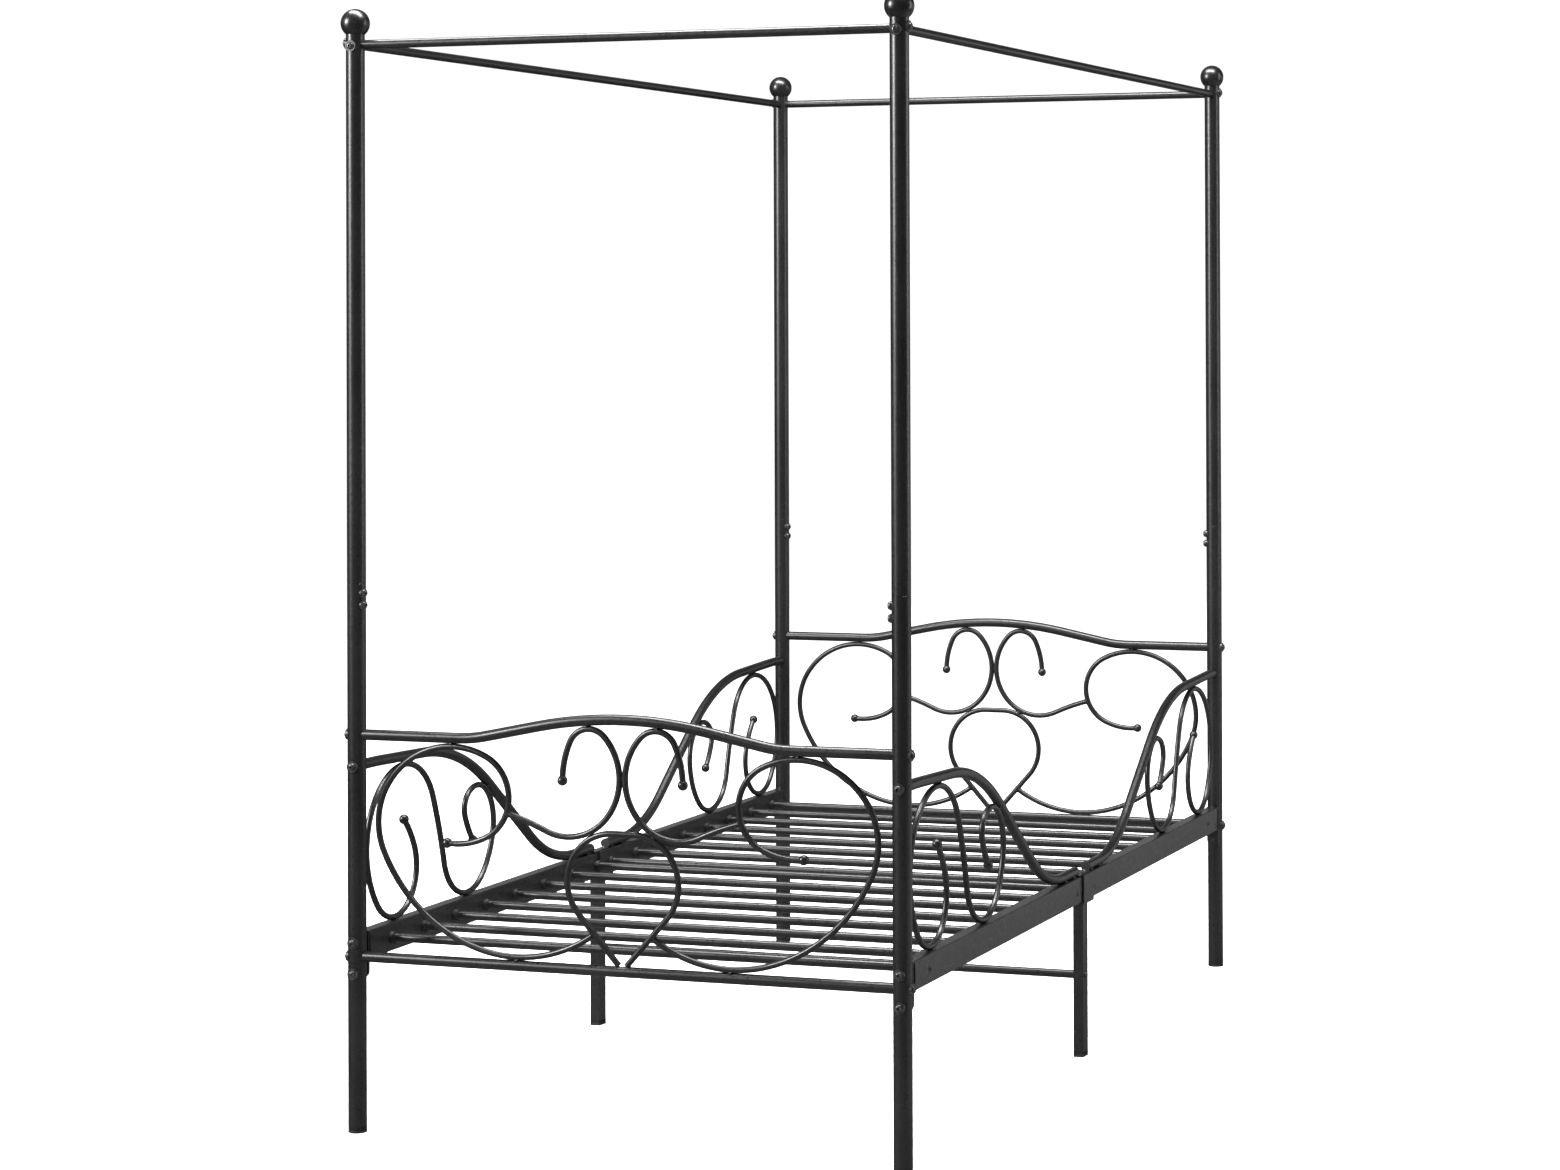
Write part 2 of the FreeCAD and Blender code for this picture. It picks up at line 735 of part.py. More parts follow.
def make_rail(side_name, end_name):
    """Rectangular tube from a post's plate to the middle, with a row of slat holes inside."""
    side, end = SIDES[side_name], ENDS[end_name]
    body = new_body("Rail")
    section = sketch_on(body, "XZ_Plane", "Section")
    low = "dims.rail_top - dims.rail_height"
    wall = "2 * dims.rail_wall"
    add_box(section, "dims.rail_width", "dims.rail_height", low)
    add_box(section, f"dims.rail_width - {wall}", f"dims.rail_height - {wall}", f"{low} + dims.rail_wall")
    outer_end = "dims.axis_length / 2 - dims.post_radius - dims.plate_thickness"
    if end < 0:
        length = f"{outer_end} - dims.foot_rail_end"
        start = f"-({outer_end})"
    else:
        length = f"{outer_end} + dims.head_rail_end"
        start = "-dims.head_rail_end"
    feature = pad(body, section, length)
    feature.Reversed = True
    doc.recompute()
    corners_at = []
    for index, edge in enumerate(body.Shape.Edges, start=1):
        box = edge.BoundBox
        on_side = abs(abs(box.Center.x) - size("rail_width") / 2) < 0.01
        if box.YLength > size("rail_height") and on_side and abs(box.XLength) < 0.01:
            corners_at.append(f"Edge{index}")
    rounding = body.newObject("PartDesign::Fillet", "Corners")
    rounding.Base = (feature, corners_at)
    bind(rounding, Radius="dims.rail_corner")

    holes = sketch_on(body, "YZ_Plane", "SlatHole")
    # The body's own origin is its foot end, so slats are counted from there.
    if end < 0:
        first = "dims.slat_first - dims.post_radius - dims.plate_thickness"
    else:
        span = "dims.slat_pitch * (dims.slat_count - 1)"
        first = f"dims.head_rail_end + dims.axis_length / 2 - dims.slat_first - {span}"
    add_circle(holes, "dims.socket_sleeve_radius", first, "dims.rail_top - dims.rail_height / 2")
    hole = pocket_one_side(body, holes, "dims.rail_width", reverse=side < 0)
    pattern = body.newObject("PartDesign::LinearPattern", "SlatHoles")
    pattern.Originals = [hole]
    pattern.Direction = (plane(body, "Y_Axis"), [""])
    bind(pattern, Length="dims.slat_pitch * (dims.slat_count - 1)", Occurrences="dims.slat_count")
    body.Tip = pattern
    doc.recompute()
    outer = sketch_on(body, "YZ_Plane", "OuterScrewHoles")
    if end < 0:
        slat_screw = first
        middle_screw = f"{outer_end} - dims.middle_screw"
    else:
        slat_screw = f"{first} + {span}"
        middle_screw = "dims.head_rail_end + dims.middle_screw"
    add_circle(outer, "dims.screw_radius", slat_screw, "dims.rail_top - dims.rail_height / 2")
    add_circle(outer, "dims.screw_radius", middle_screw, "dims.middle_screw_height")
    pocket_one_side(body, outer, "dims.rail_width", reverse=side > 0)
    if end > 0:
        top = sketch_on(body, "XY_Plane", "StripScrewHole")
        top.setExpression("AttachmentOffset.Base.z", "dims.rail_top - dims.rail_height / 2")
        add_circle(top, "dims.screw_radius", "0", "dims.head_rail_end + dims.strip_screw")
        pocket_one_side(body, top, "dims.rail_height", reverse=True)
    bind(body, Placement__Base__x=f"{side} * dims.axis_width / 2", Placement__Base__y=start)
    node(body, f"side_rail_{end_name}_{side_name}")


def plate_master():
    """End plate: as wide as the rail, its round tail hanging below for the lower bolt."""
    body = new_body("EndPlate")
    sketch = sketch_on(body, "XZ_Plane", "Outline")
    half = size("rail_width") / 2
    top = size("rail_top")
    tail = size("plate_bolt_low")
    points = [V(-half, tail, 0), V(-half, top, 0), V(half, top, 0), V(half, tail, 0)]
    lines = [
        sketch.addGeometry(Part.LineSegment(start, end), False)
        for start, end in zip(points, points[1:])
    ]
    circle = Part.Circle(V(0, tail, 0), UP, half)
    arc = sketch.addGeometry(Part.ArcOfCircle(circle, math.pi, 2 * math.pi), False)
    joins = ((lines[0], 2, lines[1], 1), (lines[1], 2, lines[2], 1))
    for first, first_end, second, second_end in joins:
        sketch.addConstraint(Sketcher.Constraint("Coincident", first, first_end, second, second_end))
    sketch.addConstraint(Sketcher.Constraint("Tangent", lines[0], 1, arc, 1))
    sketch.addConstraint(Sketcher.Constraint("Tangent", lines[2], 2, arc, 2))
    sketch.addConstraint(Sketcher.Constraint("Horizontal", lines[1]))
    sketch.addConstraint(Sketcher.Constraint("Vertical", lines[0]))
    bounds = (
        ("DistanceY", -1, 1, arc, 3, "dims.plate_bolt_low"),
        ("DistanceX", lines[0], 1, arc, 3, "dims.rail_width / 2"),
        ("DistanceX", lines[1], 1, lines[1], 2, "dims.rail_width"),
        ("DistanceY", -1, 1, lines[1], 1, "dims.rail_top"),
    )
    for kind, first, first_end, second, second_end, expression in bounds:
        constraint = Sketcher.Constraint(kind, first, first_end, second, second_end, 1.0)
        index = sketch.addConstraint(constraint)
        sketch.setExpression(f"Constraints[{index}]", expression)
    index = sketch.addConstraint(Sketcher.Constraint("DistanceX", -1, 1, lines[1], 2, half))
    sketch.setExpression(f"Constraints[{index}]", "dims.rail_width / 2")
    pad(body, sketch, "dims.plate_thickness")
    hole_rows(
        body, "XZ_Plane", "BoltHoles", ["dims.plate_bolt_high", "dims.plate_bolt_low"],
        "dims.bolt_radius",
    )
    return body


for side_name in SIDES:
    for end_name in ENDS:
        make_rail(side_name, end_name)

end_plate = plate_master()
members = []
plate_face = half_length - size("post_radius")
for side, end in corners():
    turned = FreeCAD.Rotation(UP, 0 if end > 0 else 180)
    members.append((end_plate, FreeCAD.Placement(V(side * half_width, end * plate_face, 0), turned)))
group("rail_end_plates", members)


# ---------------------------------------------------------------- slats and their sockets

def slat_positions(end):
    """Y of each slat in one half, from the post inwards."""
    count = int(size("slat_count"))
    return [
        end * (half_length - size("slat_first") - index * size("slat_pitch"))
        for index in range(count)
    ]


slat_height = size("rail_top") - size("rail_height") / 2
slat = cut(
    cylinder("dims.thin_tube_radius", "2 * dims.slat_reach"),
    cylinder("dims.thin_tube_radius - dims.tube_wall", "2 * dims.slat_reach"),
)
for end_name, end in ENDS.items():
    members = [
        (slat, placed(-size("slat_reach"), y, slat_height, V(1, 0, 0))) for y in slat_positions(end)
    ]
    group(f"slats_{end_name}_half", members)

# Own +Z points from the rail's inner face into the bed.
socket = cut(
    fused(
        cylinder("dims.socket_radius", "dims.socket_length"),
        cylinder("dims.socket_sleeve_radius", "2 * dims.rail_wall", "-2 * dims.rail_wall"),
    ),
    cylinder("dims.thin_tube_radius", "4 * dims.socket_length", "-2 * dims.socket_length"),
)
members = []
for end in ENDS.values():
    for y in slat_positions(end):
        for side in SIDES.values():
            face = side * (half_width - size("rail_width") / 2)
            members.append((socket, placed(face, y, slat_height, V(-side, 0, 0))))
group("slat_sockets", members)


# ---------------------------------------------------------------- guards above the side rails

guard_floor = size("rail_top") + size("board_tube_radius")


def guard_line(side, end):
    """Level from the post, an S down to the rail, then level to the middle."""
    fall, sweep_angle = size("guard_fall"), size("guard_slope")
    lower_bend = size("guard_low_bend")
    line = Bender(0, size("guard_height"), 0, guard_plane(side, end))
    line.run(size("guard_entry")).bend(size("guard_entry_bend"), -fall)
    line.run(size("guard_shoulder") - line.u)
    line.bend(size("guard_high_bend"), fall - sweep_angle)
    slope = math.radians(sweep_angle)
    landing = lower_bend * (1 - math.cos(slope))
    line.run((line.v - landing - guard_floor) / math.sin(slope))
    line.bend(lower_bend, sweep_angle)
    line.run(half_length - size("guard_gap") - line.u)
    return line


def shoulder_height(u):
    """Height of a guard tube's centre line on its nearly level stretch beside the post."""
    fall = math.radians(size("guard_fall"))
    bend = size("guard_entry_bend")
    past_bend = u - size("guard_entry") - bend * math.sin(fall)
    return size("guard_height") - bend * (1 - math.cos(fall)) - past_bend * math.tan(fall)


def make_guard(side_name, end_name):
    side, end = SIDES[side_name], ENDS[end_name]
    outer = swept(guard_line(side, end), "dims.board_tube_radius")
    inner = swept(guard_line(side, end), "dims.board_tube_radius - dims.tube_wall")
    cutter = cylinder("dims.post_radius", "dims.seam_height")
    at_corner(cutter, side, end)
    node(cut(outer, inner, cutter), f"guard_tube_{end_name}_{side_name}")


def make_guard_scroll(side_name, end_name):
    """One rod: a ball, a tall loop beside the post, a long fall, a lower loop and a ball."""
    space = guard_plane(SIDES[side_name], ENDS[end_name])
    rail_level = size("rail_top") + rod_radius - contact
    start_u, heading = size("guard_scroll_start"), GUARD_HEADING
    under_guard = shoulder_height(size("guard_scroll_top")) - size("board_tube_radius") - rod_radius
    trial = Bender(start_u, 0, heading, space).bends(GUARD_LOOP)
    scale = (under_guard + contact - rail_level) / (trial.high - trial.low)
    start_height = rail_level - trial.low * scale
    line = Bender(start_u, start_height, heading, space).bends(GUARD_LOOP, scale)
    start_tip(start_u, start_height, heading, space)
    first_radius = GUARD_CURL[0][0]
    line.bend(*GUARD_FALL)
    drop = first_radius * (1 - math.cos(line.heading))
    line.run((line.v - drop - rail_level) / -math.sin(line.heading))
    line.bends(GUARD_CURL)
    add_tip(line)
    rod(f"guard_scroll_{end_name}_{side_name}", line)


for side_name in SIDES:
    for end_name in ENDS:
        make_guard(side_name, end_name)
        make_guard_scroll(side_name, end_name)

# Own +Z points out of the tube's open end.
end_cap = fused(
    cylinder("dims.board_tube_radius", "dims.guard_cap_lip"),
    cylinder("dims.board_tube_radius - dims.tube_wall", "dims.plug_depth", "-dims.plug_depth"),
)
members = [
    (end_cap, placed(side * half_width, end * size("guard_gap"), guard_floor, V(0, -end, 0)))
    for side, end in corners()
]
group("guard_end_caps", members)


# ---------------------------------------------------------------- balls on the scrolls' ends

ball_tip = doc.addObject("Part::Sphere", "BallTip")
bind(ball_tip, Radius="dims.tip_radius", Angle1="-acos(dims.rod_radius / dims.tip_radius)")
seat = math.sqrt(size("tip_radius") ** 2 - rod_radius ** 2)
members = []
for end_point, direction in tips:
    centre = end_point + direction * seat
    members.append((ball_tip, placed(centre.x, centre.y, centre.z, direction)))
group("scroll_ball_tips", members)


# ---------------------------------------------------------------- middle legs

def make_leg(side_name):
    side = SIDES[side_name]
    body = new_body("MiddleLeg")
    sketch = sketch_on(body, "XZ_Plane", "Section")
    bottom = "dims.glide_height"
    height = "dims.rail_top - dims.rail_height - dims.bracket_drop - dims.glide_height"
    add_box(sketch, "dims.leg_width", height, bottom)
    pad(body, sketch, "dims.leg_depth", midplane=True)
    bore = sketch_on(body, "XY_Plane", "Bore")
    add_box(
        bore, "dims.leg_width - 2 * dims.rail_wall", "dims.leg_depth - 2 * dims.rail_wall",
        "-dims.leg_depth / 2 + dims.rail_wall",
    )
    pocket_through(body, bore)
    hole_rows(body, "YZ_Plane", "CrossbarBoltHole", ["dims.crossbar_height"], "dims.bolt_radius")
    bind(body, Placement__Base__x=f"{side} * dims.axis_width / 2")
    node(body, f"middle_leg_{side_name}")


def box(length, width, height, x, y, z):
    piece = doc.addObject("Part::Box", "Block")
    bind(piece, Length=length, Width=width, Height=height)
    return bind(piece, Placement__Base__x=x, Placement__Base__y=y, Placement__Base__z=z)


def bracket_master():
    """Open trough on top of a middle leg that takes the head rail, with a thick sole."""
    wall = "dims.bracket_wall"
    length = "dims.bracket_start + dims.bracket_end"
    shell = box(
        f"dims.rail_width + 2 * {wall}", length, "dims.rail_height + dims.bracket_drop",
        f"-dims.rail_width / 2 - {wall}", "-dims.bracket_start",
        "dims.rail_top - dims.rail_height - dims.bracket_drop",
    )
    trough = box(
        "dims.rail_width", f"2 * ({length})", "2 * dims.rail_height",
        "-dims.rail_width / 2", "-2 * dims.bracket_start", "dims.rail_top - dims.rail_height",
    )
    return cut(shell, trough)


for side_name in SIDES:
    make_leg(side_name)

bracket = bracket_master()
group("middle_brackets", [(bracket, placed(side * half_width, 0, 0)) for side in SIDES.values()])


def through_hole(y, z, direction):
    """A screw-sized cylinder along `direction` through the middle joint."""
    hole = cylinder("dims.screw_radius", "2 * dims.rail_height")
    back = direction * -size("rail_height")
    hole.Placement = placed(back.x, y + back.y, z + back.z, direction)
    return hole


# Tongue inside both rail halves; it shows in the gap beside the bracket.
tongue_width = "dims.rail_width - 2 * dims.rail_wall"
tongue_height = "dims.rail_height - 2 * dims.rail_wall"
tongue = box(
    tongue_width, "dims.tongue_length", tongue_height,
    f"-({tongue_width}) / 2", "-dims.tongue_start",
    f"dims.rail_top - dims.rail_height / 2 - ({tongue_height}) / 2",
)
inner_width, inner_height = (f"({outer} - 2 * dims.rail_wall)" for outer in (tongue_width, tongue_height))
hollow = box(
    inner_width, "2 * dims.tongue_length", inner_height,
    f"-{inner_width} / 2", "-2 * dims.tongue_start",
    f"dims.rail_top - dims.rail_height / 2 - {inner_height} / 2",
)
screw_level = size("middle_screw_height")
strip_screw = size("strip_screw")
tongue_holes = [through_hole(end * size("middle_screw"), screw_level, V(1, 0, 0)) for end in (-1, 1)]
tongue_holes += [through_hole(end * strip_screw, size("rail_top"), UP) for end in (-1, 1)]
rail_tongue = cut(tongue, hollow, *tongue_holes)
group("rail_tongues", [(rail_tongue, placed(side * half_width, 0, 0)) for side in SIDES.values()])

strip = cut(
    box(
        "dims.strip_width", "dims.strip_length", "dims.bracket_wall",
        "-dims.strip_width / 2", "-dims.strip_length / 2", "dims.rail_top",
    ),
    *[through_hole(end * strip_screw, size("rail_top"), UP) for end in (-1, 1)],
)
group("joining_strips", [(strip, placed(side * half_width, 0, 0)) for side in SIDES.values()])

crossbar_body = new_body("Crossbar")
crossbar_section = sketch_on(crossbar_body, "YZ_Plane", "Section")
add_circle(crossbar_section, "dims.thin_tube_radius", "0", "dims.crossbar_height")
add_circle(
    crossbar_section, "dims.thin_tube_radius - dims.tube_wall", "0", "dims.crossbar_height"
)
pad(crossbar_body, crossbar_section, "dims.axis_width - dims.leg_width", midplane=True)
node(crossbar_body, "leg_crossbar")


# ---------------------------------------------------------------- fasteners

# A button head's proportions: heights are shares of its height, the rest of its radius.
HEAD_RIM, HEAD_FLAT = 0.25, 0.35
HEAD_BULGE = (0.78, 0.72)
KEY_RADIUS, KEY_DEPTH = 0.42, 0.6


def socket_bolt(shank_radius, head_radius, head_height, length):
    """Round-head bolt with a hexagon socket; own +Z points out of the head, z=0 under it."""
    body = new_body("Bolt")
    sketch = sketch_on(body, "XZ_Plane", "Profile")
    shank, head_r, head_h = size(shank_radius), size(head_radius), size(head_height)
    rim = head_h * HEAD_RIM
    outline = [
        V(0, -length, 0), V(shank, -length, 0), V(shank, 0, 0), V(head_r, 0, 0), V(head_r, rim, 0),
    ]
    for start, end in zip(outline, outline[1:]):
        sketch.addGeometry(Part.LineSegment(start, end), False)
    crown_start, crown_end = V(head_r, rim, 0), V(head_r * HEAD_FLAT, head_h, 0)
    bulge = V(head_r * HEAD_BULGE[0], rim + (head_h - rim) * HEAD_BULGE[1], 0)
    sketch.addGeometry(Part.Arc(crown_start, bulge, crown_end), False)
    sketch.addGeometry(Part.LineSegment(crown_end, V(0, head_h, 0)), False)
    sketch.addGeometry(Part.LineSegment(V(0, head_h, 0), V(0, -length, 0)), False)
    turned = body.newObject("PartDesign::Revolution", "Turned")
    turned.Profile = sketch
    turned.ReferenceAxis = (sketch, ["V_Axis"])
    turned.Angle = 360
    doc.recompute()
    drive = sketch_on(body, "XY_Plane", "Drive")
    drive.AttachmentOffset = placed(0, 0, head_h)
    key = head_r * KEY_RADIUS
    hexagon = [
        V(key * math.cos(math.radians(60 * i)), key * math.sin(math.radians(60 * i)), 0)
        for i in range(6)
    ]
    for start, end in zip(hexagon, hexagon[1:] + hexagon[:1]):
        drive.addGeometry(Part.LineSegment(start, end), False)
    before = body.Shape.Volume
    recess = body.newObject("PartDesign::Pocket", "Recess")
    recess.Profile = drive
    recess.Length = head_h * KEY_DEPTH
    doc.recompute()
    if not body.Shape.Volume < before:
        sys.exit("the bolt's recess cuts nothing")
    return body


def saddle_washer(radius, rim="dims.washer_radius"):
    """Washer hollowed to sit on a post; own +Z points away from the post, z=0 at its outer face."""
    thickest = "2 * dims.washer_thickness"
    disc = cylinder(rim, f"{thickest} + 1", f"-({thickest} + 1)")
    bore = cylinder(radius, f"4 * ({thickest})", f"-2 * ({thickest})")
    post = cylinder("dims.post_radius", "4 * dims.washer_radius")
    depth = size("post_radius") + size("washer_thickness")
    post.Placement = placed(-2 * size("washer_radius"), 0, -depth, V(1, 0, 0))
    return cut(disc, bore, post)


def insert_for(bore, tube, off_centre=0.0):
    """Threaded plug in a tube's mouth; own +Z points into the tube."""
    hole = cylinder(bore, "dims.insert_length")
    hole.Placement = placed(off_centre, 0, 0)
    return cut(cylinder(f"{tube} - dims.tube_wall", "dims.insert_length"), hole)


washer_lift = size("washer_thickness")
post_radius = size("post_radius")
reach = post_radius + washer_lift
grip = size("bolt_grip")
through_post = reach + post_radius
BOLT = ("bolt_radius", "bolt_head_radius", "bolt_head_height")
SLIM_BOLT = ("screw_radius", "bolt_head_radius", "bolt_head_height")
SCREW = ("screw_radius", "screw_head_radius", "screw_head_height")
plate_bolt = socket_bolt(*BOLT, through_post + size("plate_thickness"))
tube_bolt = socket_bolt(*BOLT, through_post + grip)
leg_bolt = socket_bolt(*BOLT, size("leg_width") + grip)
canopy_bolt = socket_bolt(*SLIM_BOLT, through_post + grip)
seam_bolt = socket_bolt(*SLIM_BOLT, washer_lift + size("seam_bolt_reach"))
short_screw = socket_bolt(*SCREW, size("short_screw_length"))
board_insert = insert_for("dims.bolt_radius", "dims.board_tube_radius")
bar_insert = insert_for("dims.bolt_radius", "dims.thin_tube_radius")
bolt_washer = saddle_washer("dims.bolt_radius")
screw_washer = saddle_washer("dims.screw_radius")
seam_washer = saddle_washer("dims.screw_radius", "dims.seam_washer_radius")
crossing = size("crossing_offset")
canopy_insert = insert_for("dims.screw_radius", "dims.thin_tube_radius", crossing)

bolts, screws, washers, inserts = [], [], [], []


def post_joint(corner, outward, height, bolt, washer, shelf):
    """A bolt with its saddle washer on the post's outer face, pointing `outward`."""
    x, y = corner[0] + outward.x * reach, corner[1] + outward.y * reach
    shelf.append((bolt, placed(x, y, height, outward)))
    washers.append((washer, placed(x, y, height, outward, UP)))


def tube_joint(corner, outward, height, insert, lift=UP):
    """The insert in the mouth of the tube on the post's other side."""
    mouth = post_radius + size("insert_setback")
    x, y = corner[0] - outward.x * mouth, corner[1] - outward.y * mouth
    inserts.append((insert, placed(x, y, height, outward * -1, lift)))


for side, end in corners():
    corner = (side * half_width, end * half_length)
    out_x, out_y = V(side, 0, 0), V(0, end, 0)
    for height in (size("top_tube_height"), size("low_tube_height")):
        post_joint(corner, out_x, height, tube_bolt, bolt_washer, bolts)
        tube_joint(corner, out_x, height, board_insert)
    post_joint(corner, out_y, size("guard_height"), tube_bolt, bolt_washer, bolts)
    tube_joint(corner, out_y, size("guard_height"), board_insert)
    for height in (size("plate_bolt_high"), size("plate_bolt_low")):
        post_joint(corner, out_y, height, plate_bolt, bolt_washer, bolts)
    canopy = size("canopy_height")
    post_joint(corner, out_x, canopy + crossing, canopy_bolt, screw_washer, screws)
    tube_joint(corner, out_x, canopy, canopy_insert)
    post_joint(corner, out_y, canopy - crossing, canopy_bolt, screw_washer, screws)
    tube_joint(corner, out_y, canopy, canopy_insert, UP * -1)
    swing = math.radians(size("seam_screw_swing"))
    inward = V(-side * math.cos(swing), -math.sin(swing), 0)
    seam_screw = size("seam_height") - size("seam_screw_drop")
    for height in (seam_screw, seam_screw - size("seam_screw_gap")):
        post_joint(corner, inward, height, seam_bolt, seam_washer, screws)
    rail_face = side * (half_width + size("rail_width") / 2)
    slat_y = slat_positions(end)[0]
    screws.append((short_screw, placed(rail_face, slat_y, slat_height, out_x)))
    screws.append((short_screw, placed(rail_face, end * size("middle_screw"), screw_level, out_x)))
    strip_top = size("rail_top") + size("bracket_wall")
    screws.append((short_screw, placed(corner[0], end * strip_screw, strip_top)))

for side in SIDES.values():
    bar = size("crossbar_height")
    leg_face = half_width + size("leg_width") / 2
    bar_mouth = half_width - size("leg_width") / 2 - 2
    bolts.append((leg_bolt, placed(side * leg_face, 0, bar, V(side, 0, 0))))
    inserts.append((bar_insert, placed(side * bar_mouth, 0, bar, V(-side, 0, 0), UP)))

group("frame_bolts", bolts)
group("m5_screws", screws)
group("saddle_washers", washers)
group("tube_end_inserts", inserts)


# ---------------------------------------------------------------- checks and export

doc.recompute()
os.makedirs("parts", exist_ok=True)
for item in doc.Objects:
    if "Invalid" in item.State or "Error" in item.State:
        sys.exit(f"{item.Name} ({item.Label}) is broken: {item.State}")
for item in nodes:
    if item.Shape.isNull() or not item.Shape.isValid() or not item.Shape.Solids:
        sys.exit(f"{item.Label} has no valid shape")
for item in nodes:
    item.Shape.exportStep(f"parts/{item.Label}.step")
print(len(nodes), "sub-parts")
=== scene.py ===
import json
import math

import bmesh
import bpy
from mathutils import Matrix, Vector, noise
from mathutils.bvhtree import BVHTree


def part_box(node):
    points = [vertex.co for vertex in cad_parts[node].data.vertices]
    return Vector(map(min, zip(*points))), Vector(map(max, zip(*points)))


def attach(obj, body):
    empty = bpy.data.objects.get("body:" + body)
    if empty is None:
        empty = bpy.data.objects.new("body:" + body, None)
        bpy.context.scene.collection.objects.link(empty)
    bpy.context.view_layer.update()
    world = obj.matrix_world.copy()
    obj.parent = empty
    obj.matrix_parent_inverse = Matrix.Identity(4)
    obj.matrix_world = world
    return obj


# Looks for the four poster canopy bed: black powder-coated steel, black plastic fittings, weld beads.
# Metres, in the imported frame: origin on the floor under the bed's centre, foot at -Y, head at +Y.

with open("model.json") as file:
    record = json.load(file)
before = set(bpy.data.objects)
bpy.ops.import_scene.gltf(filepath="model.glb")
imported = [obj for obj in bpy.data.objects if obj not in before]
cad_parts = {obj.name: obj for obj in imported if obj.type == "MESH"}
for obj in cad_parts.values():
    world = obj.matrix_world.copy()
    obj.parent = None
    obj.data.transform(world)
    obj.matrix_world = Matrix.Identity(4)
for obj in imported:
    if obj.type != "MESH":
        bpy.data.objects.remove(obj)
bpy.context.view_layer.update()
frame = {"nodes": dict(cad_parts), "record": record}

MM = 0.001
ENDS = ("foot", "head")
SIDES = ("left", "right")
X_AXIS = Vector((1.0, 0.0, 0.0))
Y_AXIS = Vector((0.0, 1.0, 0.0))
Z_AXIS = Vector((0.0, 0.0, 1.0))

# A weld bead is a chain of rings: rippled like a run of small pools, and lumpy.
RING_STEP = 0.45 * MM
RING_CORNERS = 10
BEAD_FULLNESS = 0.94
RIPPLE_DEPTH = 0.10
RIPPLE_PITCH = 1.7 * MM
LUMP_DEPTH = 0.16
LUMPS_PER_METRE = 420.0
TAPER_POWER = 5  # the higher, the blunter an open bead's ends
FEWEST_STEPS = 6
TINY = 1e-9  # keeps a zero-length step from dividing by zero

# Where beads go. A rod nearer to its neighbour than PRESSED lies along it; a rod's end that is cut to
# its neighbour is nearer than CUT. Contact points closer together than a spread belong to one joint.
PRESSED = 0.45 * MM
PRESSED_SPREAD = 25 * MM
CUT = 0.06 * MM
CUT_SPREAD = 9 * MM
SMALLEST_JOINT = 6 * MM
FEWEST_POINTS = 8
SLICES = 24
CREVICE_LIFT = 0.5 * MM

# Crevice beads: length, distance from the line of contact, radius.
TUBE_BEAD = (7 * MM, 4.6 * MM, 2.0 * MM)
ROD_BEAD = (7 * MM, 4.0 * MM, 2.0 * MM)
RAIL_BEAD = (8 * MM, 5.0 * MM, 2.0 * MM)
# Radii of the beads round rods' cut ends and of the fillets on rails and legs.
ROD_END_RADIUS = 1.5 * MM
TEARDROP_FOOT_RADIUS = 1.6 * MM
FILLET_RADIUS = 1.7 * MM


# ---------------------------------------------------------------- materials

